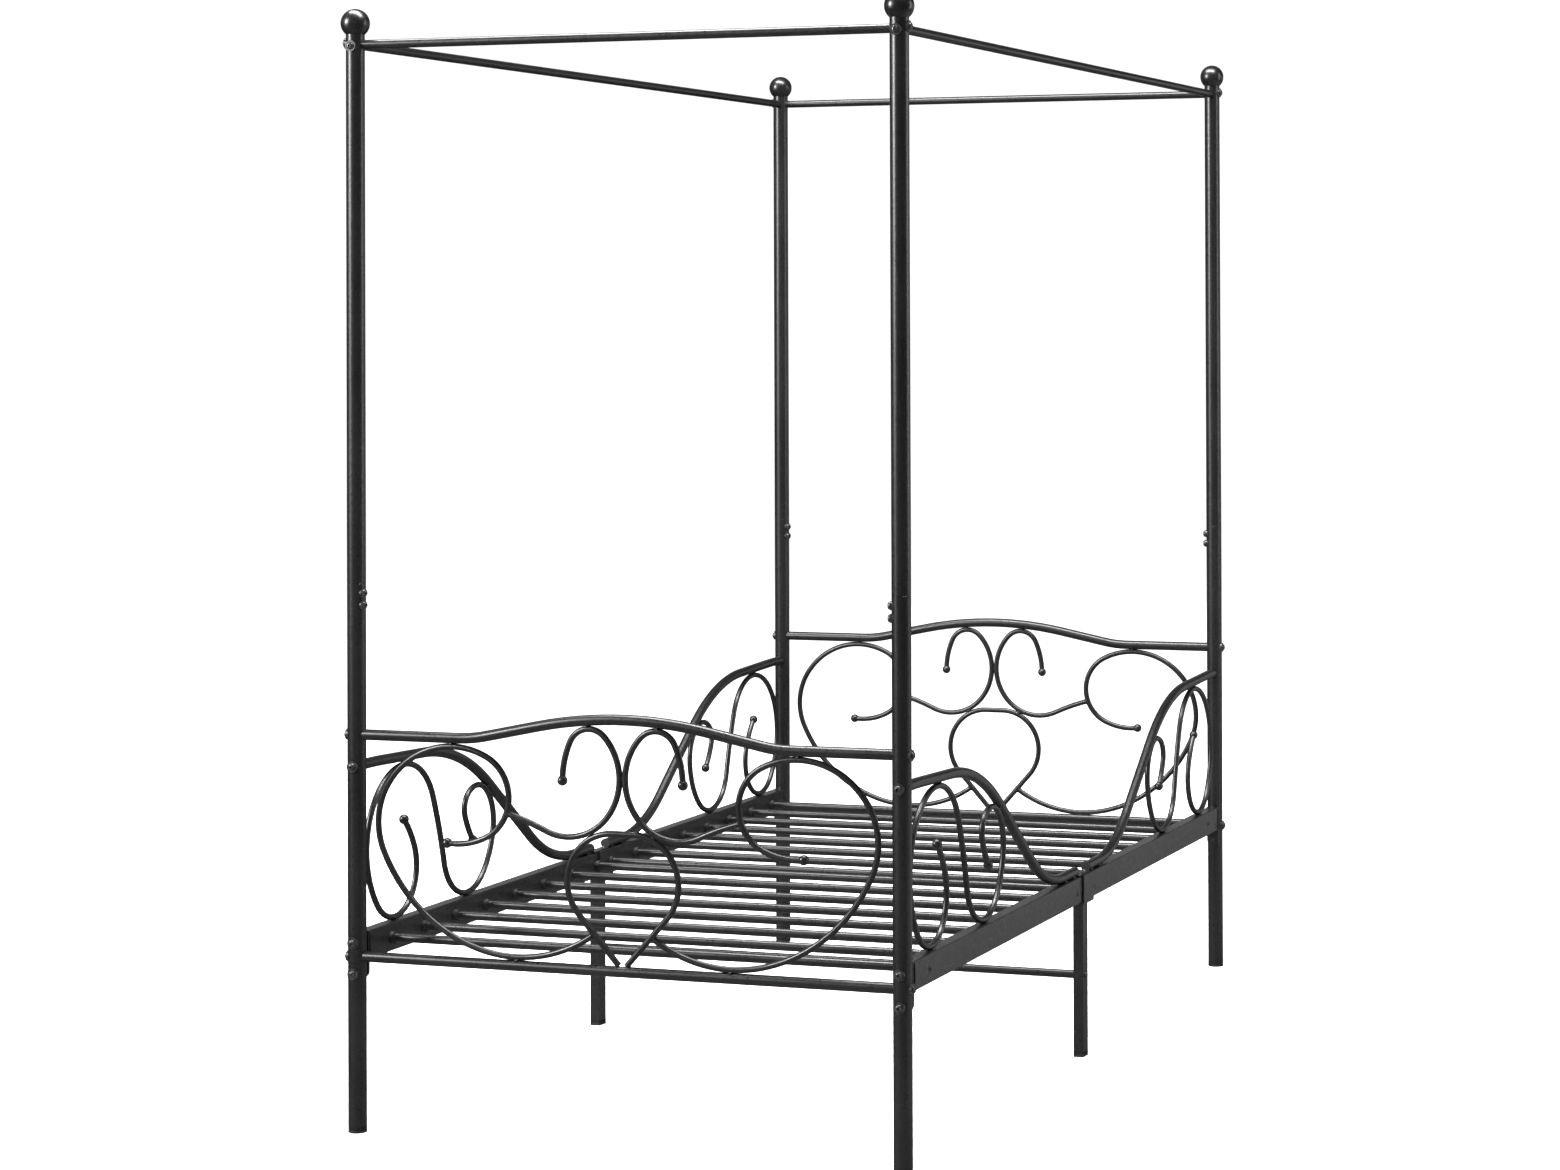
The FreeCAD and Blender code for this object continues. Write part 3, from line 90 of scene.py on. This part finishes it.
class Nodes:
    """A short way to build one node material."""

    def __init__(self, name):
        self.material = bpy.data.materials.new(name)
        self.material.use_nodes = True
        self.tree = self.material.node_tree
        self.tree.nodes.clear()
        self.output = self.tree.nodes.new("ShaderNodeOutputMaterial")
        self.shader = self.tree.nodes.new("ShaderNodeBsdfPrincipled")
        self.link(self.shader.outputs["BSDF"], self.output.inputs["Surface"])
        self.place = self.tree.nodes.new("ShaderNodeTexCoord").outputs["Object"]

    def link(self, source, target):
        self.tree.links.new(source, target)

    def noise(self, scale, detail=3.0):
        node = self.tree.nodes.new("ShaderNodeTexNoise")
        node.inputs["Scale"].default_value = scale
        node.inputs["Detail"].default_value = detail
        self.link(self.place, node.inputs["Vector"])
        return node.outputs["Fac"]

    def cells(self, scale):
        node = self.tree.nodes.new("ShaderNodeTexVoronoi")
        node.inputs["Scale"].default_value = scale
        self.link(self.place, node.inputs["Vector"])
        return node.outputs["Distance"]

    def stretched(self, scale_vector, source_scale):
        """Noise drawn out along one direction, for brushed or drawn marks."""
        mapping = self.tree.nodes.new("ShaderNodeMapping")
        mapping.inputs["Scale"].default_value = scale_vector
        self.link(self.place, mapping.inputs["Vector"])
        node = self.tree.nodes.new("ShaderNodeTexNoise")
        node.inputs["Scale"].default_value = source_scale
        self.link(mapping.outputs["Vector"], node.inputs["Vector"])
        return node.outputs["Fac"]

    def remap(self, source, low, high, to_low, to_high):
        node = self.tree.nodes.new("ShaderNodeMapRange")
        node.inputs["From Min"].default_value = low
        node.inputs["From Max"].default_value = high
        node.inputs["To Min"].default_value = to_low
        node.inputs["To Max"].default_value = to_high
        self.link(source, node.inputs["Value"])
        return node.outputs["Result"]

    def multiply(self, first, second):
        node = self.tree.nodes.new("ShaderNodeMath")
        node.operation = "MULTIPLY"
        self.link(first, node.inputs[0])
        self.link(second, node.inputs[1])
        return node.outputs[0]

    def blend(self, factor, first, second):
        """Mix two colours; each is a colour or the output of another blend."""
        node = self.tree.nodes.new("ShaderNodeMix")
        node.data_type = "RGBA"
        self.link(factor, node.inputs["Factor"])
        sockets = [s for s in node.inputs if s.type == "RGBA"]
        for socket, value in zip(sockets, (first, second)):
            if isinstance(value, tuple):
                socket.default_value = (*value, 1.0)
            else:
                self.link(value, socket)
        return [s for s in node.outputs if s.type == "RGBA"][0]

    def bump(self, height, strength, distance, under=None):
        node = self.tree.nodes.new("ShaderNodeBump")
        node.inputs["Strength"].default_value = strength
        node.inputs["Distance"].default_value = distance
        self.link(height, node.inputs["Height"])
        if under is not None:
            self.link(under, node.inputs["Normal"])
        return node.outputs["Normal"]

    def finish(self, colour, roughness, normal, **settings):
        self.link(colour, self.shader.inputs["Base Color"])
        self.link(roughness, self.shader.inputs["Roughness"])
        self.link(normal, self.shader.inputs["Normal"])
        for name, value in settings.items():
            self.shader.inputs[name.replace("_", " ")].default_value = value
        return self.material


def black_finish(name, tone, peel, gloss, specular):
    """Sprayed or baked black: uneven tone, orange peel and a little dust in patches."""
    m = Nodes(name)
    broad = m.remap(m.noise(7.0, 4.0), 0.35, 0.65, 0.0, 1.0)
    dark = tuple(tone * c for c in (0.85, 0.85, 0.88))
    light = tuple(tone * c for c in (1.20, 1.19, 1.22))
    colour = m.blend(broad, dark, light)
    specks = m.remap(m.cells(420.0), 0.05, 0.09, 1.0, 0.0)
    patches = m.remap(m.noise(23.0, 5.0), 0.60, 0.72, 0.0, 0.55)
    colour = m.blend(m.multiply(specks, patches), colour, (0.16, 0.155, 0.15))
    rough = m.remap(m.noise(160.0, 4.0), 0.3, 0.7, gloss - 0.05, gloss + 0.07)
    skin = m.bump(m.noise(peel, 2.0), 0.22, 0.00025)
    normal = m.bump(m.noise(55.0, 3.0), 0.10, 0.0015, skin)
    return m.finish(colour, rough, normal, Specular_IOR_Level=specular)


def powder_coat():
    return black_finish("black_powder_coat", tone=0.006, peel=1500.0, gloss=0.31, specular=0.38)


def ball_enamel():
    return black_finish("ball_enamel", tone=0.005, peel=900.0, gloss=0.28, specular=0.42)


def weld_coat():
    return black_finish("coated_weld", tone=0.006, peel=1100.0, gloss=0.34, specular=0.40)


def black_plastic():
    """Moulded fittings: a fine leather-like grain, flatter than the paint."""
    m = Nodes("black_plastic")
    cloud = m.remap(m.noise(40.0), 0.35, 0.65, 0.0, 1.0)
    colour = m.blend(cloud, (0.006, 0.006, 0.0065), (0.012, 0.012, 0.0125))
    rough = m.remap(m.noise(300.0), 0.3, 0.7, 0.48, 0.62)
    grain = m.bump(m.cells(1900.0), 0.30, 0.0002)
    return m.finish(colour, rough, grain, Specular_IOR_Level=0.35)


def black_hardware():
    """Black oxide on the screws: an uneven tone and faint turned marks."""
    m = Nodes("black_hardware")
    cloud = m.remap(m.noise(220.0, 5.0), 0.4, 0.62, 0.0, 1.0)
    colour = m.blend(cloud, (0.007, 0.007, 0.008), (0.020, 0.020, 0.021))
    rough = m.remap(m.noise(500.0, 4.0), 0.3, 0.7, 0.24, 0.40)
    marks = m.bump(m.stretched((1.0, 1.0, 9.0), 700.0), 0.18, 0.00015)
    return m.finish(colour, rough, marks, Specular_IOR_Level=0.5)


def zinc_steel():
    """Hidden sleeves and inserts: spangled zinc."""
    m = Nodes("zinc_steel")
    spangle = m.remap(m.cells(260.0), 0.0, 0.7, 0.0, 1.0)
    colour = m.blend(spangle, (0.42, 0.43, 0.44), (0.62, 0.63, 0.64))
    rough = m.remap(m.noise(350.0), 0.3, 0.7, 0.28, 0.48)
    normal = m.bump(m.noise(800.0), 0.15, 0.0002)
    return m.finish(colour, rough, normal, Metallic=1.0)


def studio_paper():
    """Matt pale paper for the studio's floor and wall."""
    m = Nodes("studio_paper")
    colour = m.blend(m.noise(3.0, 2.0), (0.90, 0.90, 0.90), (0.93, 0.93, 0.93))
    rough = m.remap(m.noise(30.0), 0.3, 0.7, 0.75, 0.85)
    normal = m.bump(m.noise(400.0), 0.05, 0.0003)
    return m.finish(colour, rough, normal, Specular_IOR_Level=0.1)


MATERIALS = {
    "black_powder_coat": powder_coat(),
    "ball_enamel": ball_enamel(),
    "coated_weld": weld_coat(),
    "black_plastic": black_plastic(),
    "black_hardware": black_hardware(),
    "zinc_steel": zinc_steel(),
}


def dress_frame():
    """Give every CAD node the material of its slot in the record."""
    slots = {s["node"]: s["material_slot"] for s in frame["record"]["subparts"]}
    for name, obj in frame["nodes"].items():
        material = MATERIALS[slots[name]]
        if not obj.material_slots:
            obj.data.materials.append(material)
        for material_slot in obj.material_slots:
            material_slot.material = material


# ---------------------------------------------------------------- weld beads

def surface(node):
    """Search tree of a CAD node's surface."""
    mesh = frame["nodes"][node].data
    corners = [v.co.copy() for v in mesh.vertices]
    return BVHTree.FromPolygons(corners, [tuple(p.vertices) for p in mesh.polygons])


def touching(node, other, within):
    """Points of `node`'s mesh that lie within a distance of `other`'s surface."""
    tree = surface(other)
    found = []
    for vertex in frame["nodes"][node].data.vertices:
        place, normal, _, distance = tree.find_nearest(vertex.co)
        if distance is not None and distance < within:
            found.append((vertex.co.copy(), place, normal))
    return found


def clusters(found, apart):
    """Group contact points that lie near each other."""
    groups = []
    for item in found:
        near = [g for g in groups if any((item[0] - other[0]).length < apart for other in g)]
        merged = [item]
        for g in near:
            merged += g
            groups.remove(g)
        groups.append(merged)
    return groups


def mean(points):
    total = Vector((0.0, 0.0, 0.0))
    for point in points:
        total += point
    return total / len(points)


def resample(path, step, closed):
    """Evenly spaced points along a path."""
    points = path + [path[0]] if closed else list(path)
    lengths = [0.0]
    for first, second in zip(points, points[1:]):
        lengths.append(lengths[-1] + (second - first).length)
    count = max(FEWEST_STEPS, int(lengths[-1] / step))
    marks = []
    index = 0
    for k in range(count if closed else count + 1):
        goal = lengths[-1] * k / count
        while index < len(points) - 2 and lengths[index + 1] < goal:
            index += 1
        span = max(lengths[index + 1] - lengths[index], TINY)
        marks.append(points[index].lerp(points[index + 1], (goal - lengths[index]) / span))
    return marks


def add_bead(mesh, path, radius, closed=False):
    """A weld bead along a path: overlapping ripples, lumpy, with tapered ends if it is open."""
    marks = resample(path, RING_STEP, closed)
    count = len(marks)
    rings = []
    for k, mark in enumerate(marks):
        before = marks[k - 1] if closed or k > 0 else mark
        after = marks[(k + 1) % count] if closed or k < count - 1 else mark
        along = (after - before).normalized()
        side = along.orthogonal().normalized()
        up = along.cross(side)
        ripple = RIPPLE_DEPTH * abs(math.sin(math.pi * k * RING_STEP / RIPPLE_PITCH))
        lump = LUMP_DEPTH * noise.noise(mark * LUMPS_PER_METRE)
        size = radius * (BEAD_FULLNESS + ripple + lump)
        if not closed:
            reach = (k + 0.5) / count * 2 - 1
            size *= math.sqrt(max(0.0, 1 - abs(reach) ** TAPER_POWER))
        ring = []
        for j in range(RING_CORNERS):
            angle = 2 * math.pi * j / RING_CORNERS
            arm = side * math.cos(angle) + up * math.sin(angle)
            ring.append(mesh.verts.new(mark + arm * size))
        rings.append(ring)
    pairs = list(zip(rings, rings[1:]))
    if closed:
        pairs.append((rings[-1], rings[0]))
    for first, second in pairs:
        shift = min(range(RING_CORNERS), key=lambda s: (second[s].co - first[0].co).length)
        for j in range(RING_CORNERS):
            near = (first[j], first[(j + 1) % RING_CORNERS])
            far = (second[(j + 1 + shift) % RING_CORNERS], second[(j + shift) % RING_CORNERS])
            mesh.faces.new(near + far)
    if not closed:
        mesh.faces.new(list(reversed(rings[0])))
        mesh.faces.new(rings[-1])


def weld_piece(name, mesh):
    """Turn a bmesh of beads into a smooth, coated piece that rides on the bed."""
    bmesh.ops.recalc_face_normals(mesh, faces=mesh.faces)
    data = bpy.data.meshes.new(name)
    mesh.to_mesh(data)
    mesh.free()
    for polygon in data.polygons:
        polygon.use_smooth = True
    data.materials.append(MATERIALS["coated_weld"])
    piece = bpy.data.objects.new(name, data)
    bpy.context.scene.collection.objects.link(piece)
    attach(piece, "root")


def crevice_welds(mesh, node, other, bead):
    """Where a rod lies against a tube, rod or rail: one bead in the crevice on each side."""
    length, offset, radius = bead
    across = Y_AXIS if "board" in node else X_AXIS
    for group in clusters(touching(node, other, PRESSED), PRESSED_SPREAD):
        place = mean([item[1] for item in group])
        normal = mean([item[2] for item in group]).normalized()
        along = across.cross(normal).normalized()
        lift = normal * CREVICE_LIFT
        for hand in (-1, 1):
            centre = place + across * (hand * offset) + lift
            add_bead(mesh, [centre - along * length / 2, centre + along * length / 2], radius)


def outermost(points, centre, normal):
    """The point farthest from the centre in each slice of a circle, in order round the normal."""
    side = normal.orthogonal().normalized()
    up = normal.cross(side)

    def angle(point):
        arm = point - centre
        return math.atan2(arm.dot(up), arm.dot(side))

    edges = [-math.pi + 2 * math.pi * k / SLICES for k in range(SLICES + 1)]
    outer = []
    for low, high in zip(edges, edges[1:]):
        inside = [p for p in points if low <= angle(p) < high]
        if inside:
            outer.append(max(inside, key=lambda p: (p - centre).length))
    return outer


def ring_welds(mesh, node, other, radius):
    """Where a rod's end is cut to another rod or tube: a bead round the joint."""
    for group in clusters(touching(node, other, CUT), CUT_SPREAD):
        points = [item[0] for item in group]
        if len(points) < FEWEST_POINTS:
            continue
        spans = [max(p[i] for p in points) - min(p[i] for p in points) for i in range(3)]
        if max(spans) < SMALLEST_JOINT:
            continue
        normal = mean([item[2] for item in group]).normalized()
        outer = outermost(points, mean(points), normal)
        if len(outer) >= FEWEST_POINTS:
            add_bead(mesh, outer, radius, closed=True)


def weld_scroll_pair(mesh, end):
    """One short, tall weld joins the two small scrolls where they pass each other at the centre."""
    side_overlap, layer_rise, radius = 1.6 * MM, 2.2 * MM, 2.6 * MM
    left, right = (frame["nodes"][f"{end}board_small_scroll_{side}"].data.vertices for side in SIDES)
    facing = [max(left, key=lambda v: v.co.x).co, min(right, key=lambda v: v.co.x).co]
    middle = mean(facing)
    middle.x = 0.0
    reach = Vector((abs(facing[1].x) + side_overlap, 0.0, 0.0))
    for rise in (-layer_rise, 0.0, layer_rise):
        level = middle + Z_AXIS * rise
        add_bead(mesh, [level - reach, level + reach], radius)


def weld_board(end):
    """The welds of one end's scrollwork, to each other and to the board's two tubes."""
    mesh = bmesh.new()
    top, low, teardrop = (f"{end}board_{part}" for part in ("top_tube", "low_tube", "teardrop"))
    for side in SIDES:
        big, small = f"{end}board_big_scroll_{side}", f"{end}board_small_scroll_{side}"
        crevice_welds(mesh, big, top, TUBE_BEAD)
        crevice_welds(mesh, big, low, TUBE_BEAD)
        crevice_welds(mesh, small, top, TUBE_BEAD)
        crevice_welds(mesh, small, teardrop, ROD_BEAD)
        ring_welds(mesh, big, teardrop, ROD_END_RADIUS)
        ring_welds(mesh, small, big, ROD_END_RADIUS)
    ring_welds(mesh, teardrop, low, TEARDROP_FOOT_RADIUS)
    weld_scroll_pair(mesh, end)
    weld_piece(f"welds_{end}board", mesh)


def stitch_tube_to_rail(mesh, tube, end, toward_middle, level):
    """Two stitches on each side hold the guard tube's level stretch to the rail."""
    length, lift, radius = 16 * MM, 1.2 * MM, 2.4 * MM
    distances_from_tube_end = (18 * MM, 70 * MM)
    side_share = 0.62  # of the tube's radius
    low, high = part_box(tube)
    tube_radius = (high.x - low.x) / 2
    inner_end = high.y if end == "foot" else low.y
    for distance in distances_from_tube_end:
        y = inner_end - toward_middle * distance
        for hand in (-1, 1):
            x = (low.x + high.x) / 2 + hand * tube_radius * side_share
            start = Vector((x, y - length / 2, level + lift))
            add_bead(mesh, [start, start + Y_AXIS * length], radius)


def fillet_end_plate(mesh, rail, end, toward_middle):
    """A fillet round the rail's bottom and sides, where it meets its end plate."""
    stand_off, grow, top_gap = 0.6 * MM, 0.4 * MM, 1.5 * MM
    low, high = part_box(rail)
    plate_y = low.y if end == "foot" else high.y
    y = plate_y + toward_middle * stand_off
    left, right, bottom, top = low.x - grow, high.x + grow, low.z - grow, high.z - top_gap
    corners = [Vector((x, y, z)) for x, z in ((left, bottom), (right, bottom), (right, top), (left, top))]
    for first, second in ((0, 1), (1, 2), (3, 0)):
        add_bead(mesh, [corners[first], corners[second]], FILLET_RADIUS)


def weld_guard(end, side):
    """The welds of one side guard and its rail."""
    mesh = bmesh.new()
    scroll, tube = f"guard_scroll_{end}_{side}", f"guard_tube_{end}_{side}"
    rail = f"side_rail_{end}_{side}"
    toward_middle = -1 if end == "head" else 1
    crevice_welds(mesh, scroll, tube, TUBE_BEAD)
    crevice_welds(mesh, scroll, rail, RAIL_BEAD)
    stitch_tube_to_rail(mesh, tube, end, toward_middle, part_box(rail)[1].z)
    fillet_end_plate(mesh, rail, end, toward_middle)
    weld_piece(f"welds_guard_{end}_{side}", mesh)


def weld_leg(side):
    """A fillet round the top of a middle leg, under its bracket."""
    drop, corner_gap = 0.4 * MM, 1.2 * MM
    mesh = bmesh.new()
    low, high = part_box(f"middle_leg_{side}")
    z = high.z - drop
    outline = ((low.x, low.y), (high.x, low.y), (high.x, high.y), (low.x, high.y))
    corners = [Vector((x, y, z)) for x, y in outline]
    for first, second in zip(corners, corners[1:] + corners[:1]):
        inset = (second - first).normalized() * corner_gap
        add_bead(mesh, [first + inset, second - inset], FILLET_RADIUS)
    weld_piece(f"welds_leg_{side}", mesh)


# ---------------------------------------------------------------- studio

def studio_sweep():
    """A pale floor that curves up into a pale wall far behind the bed."""
    mesh = bmesh.new()
    half_width, front, bend_start, radius, top = 40.0, -30.0, 16.0, 6.0, 30.0
    profile = [(front, 0.0), (bend_start, 0.0)]
    bend_steps = 24
    for k in range(1, bend_steps + 1):
        angle = math.pi / 2 * k / bend_steps
        profile.append((bend_start + radius * math.sin(angle), radius * (1 - math.cos(angle))))
    profile.append((bend_start + radius, top))
    rows = [[mesh.verts.new((x, y, z)) for x in (-half_width, half_width)] for y, z in profile]
    for first, second in zip(rows, rows[1:]):
        mesh.faces.new((first[0], first[1], second[1], second[0]))
    data = bpy.data.meshes.new("studio_sweep")
    mesh.to_mesh(data)
    mesh.free()
    for polygon in data.polygons:
        polygon.use_smooth = True
    data.materials.append(studio_paper())
    floor = bpy.data.objects.new("studio_sweep", data)
    floor.visible_glossy = False
    bpy.context.scene.collection.objects.link(floor)


def softbox(name, place, target, size, power):
    """A rectangular area light at a place, aimed at a target and hidden from the camera."""
    light = bpy.data.lights.new(name, "AREA")
    light.shape = "RECTANGLE"
    light.size, light.size_y = size
    light.energy = power
    lamp = bpy.data.objects.new(name, light)
    lamp.location = place
    lamp.rotation_euler = (Vector(target) - Vector(place)).to_track_quat("-Z", "Y").to_euler()
    lamp.visible_camera = False
    bpy.context.scene.collection.objects.link(lamp)


def light_studio():
    """Even white air, and softboxes (width and height in metres, power in watts)."""
    air_strength = 1.16
    world = bpy.data.worlds.new("studio_air")
    world.use_nodes = True
    background = world.node_tree.nodes["Background"]
    background.inputs["Color"].default_value = (1.0, 1.0, 1.0, 1.0)
    background.inputs["Strength"].default_value = air_strength
    bpy.context.scene.world = world
    # The air lights the paper evenly. Only the softboxes are mirrored in the gloss.
    world.cycles_visibility.glossy = False
    softbox("key_left", (-4.5, -4.5, 2.6), (0.0, 0.0, 1.0), (1.2, 3.6), 130.0)
    softbox("high_left", (-4.2, -4.6, 3.1), (-0.5, -0.9, 2.0), (1.1, 1.7), 600.0)
    softbox("top", (0.0, -0.6, 5.0), (0.0, 0.0, 0.5), (4.5, 1.2), 850.0)
    softbox("right_edge", (5.0, 1.5, 2.2), (0.5, 0.0, 1.0), (1.0, 3.4), 80.0)
    softbox("back_left", (-4.0, 9.0, 1.8), (0.0, 0.0, 0.8), (8.0, 3.6), 45.0)
    softbox("back_right", (5.5, 8.0, 1.5), (0.0, 0.0, 0.8), (7.0, 3.2), 50.0)
    # Two dim boxes lie on the floor and stand in for its mirror image in undersides and right rails.
    softbox("low_right", (2.6, 1.5, 0.01), (2.6, 1.5, 1.0), (3.4, 5.5), 30.0)
    softbox("low_middle", (0.0, 0.0, 0.01), (0.0, 0.0, 1.0), (1.6, 5.0), 4.5)


def aim_camera():
    """A long lens beyond the right foot post, at chest height and nearly level."""
    place = (2.5751, -6.4220, 1.4349)
    yaw, pitch, roll = 0.316, 0.009, -0.004
    sensor_width_mm, focal_length_mm = 36.0, 80.84
    shift_x, shift_y = -0.1799, -0.1970
    farthest = 200.0
    forward = Vector((
        -math.sin(yaw) * math.cos(pitch), math.cos(yaw) * math.cos(pitch), math.sin(pitch),
    ))
    right = Vector((math.cos(yaw), math.sin(yaw), 0.0))
    up = right.cross(forward)
    tilted_right = right * math.cos(roll) + up * math.sin(roll)
    tilted_up = up * math.cos(roll) - right * math.sin(roll)
    data = bpy.data.cameras.new("camera")
    data.sensor_width = sensor_width_mm
    data.lens = focal_length_mm
    data.shift_x = shift_x
    data.shift_y = shift_y
    data.clip_end = farthest
    camera = bpy.data.objects.new("camera", data)
    turn = Matrix((tilted_right, tilted_up, -forward)).transposed().to_4x4()
    camera.matrix_world = Matrix.Translation(place) @ turn
    bpy.context.scene.collection.objects.link(camera)
    bpy.context.scene.camera = camera


dress_frame()
for end_name in ENDS:
    weld_board(end_name)
    for side_name in SIDES:
        weld_guard(end_name, side_name)
for side_name in SIDES:
    weld_leg(side_name)
studio_sweep()
light_studio()
aim_camera()
bpy.context.scene.view_settings.view_transform = "Standard"
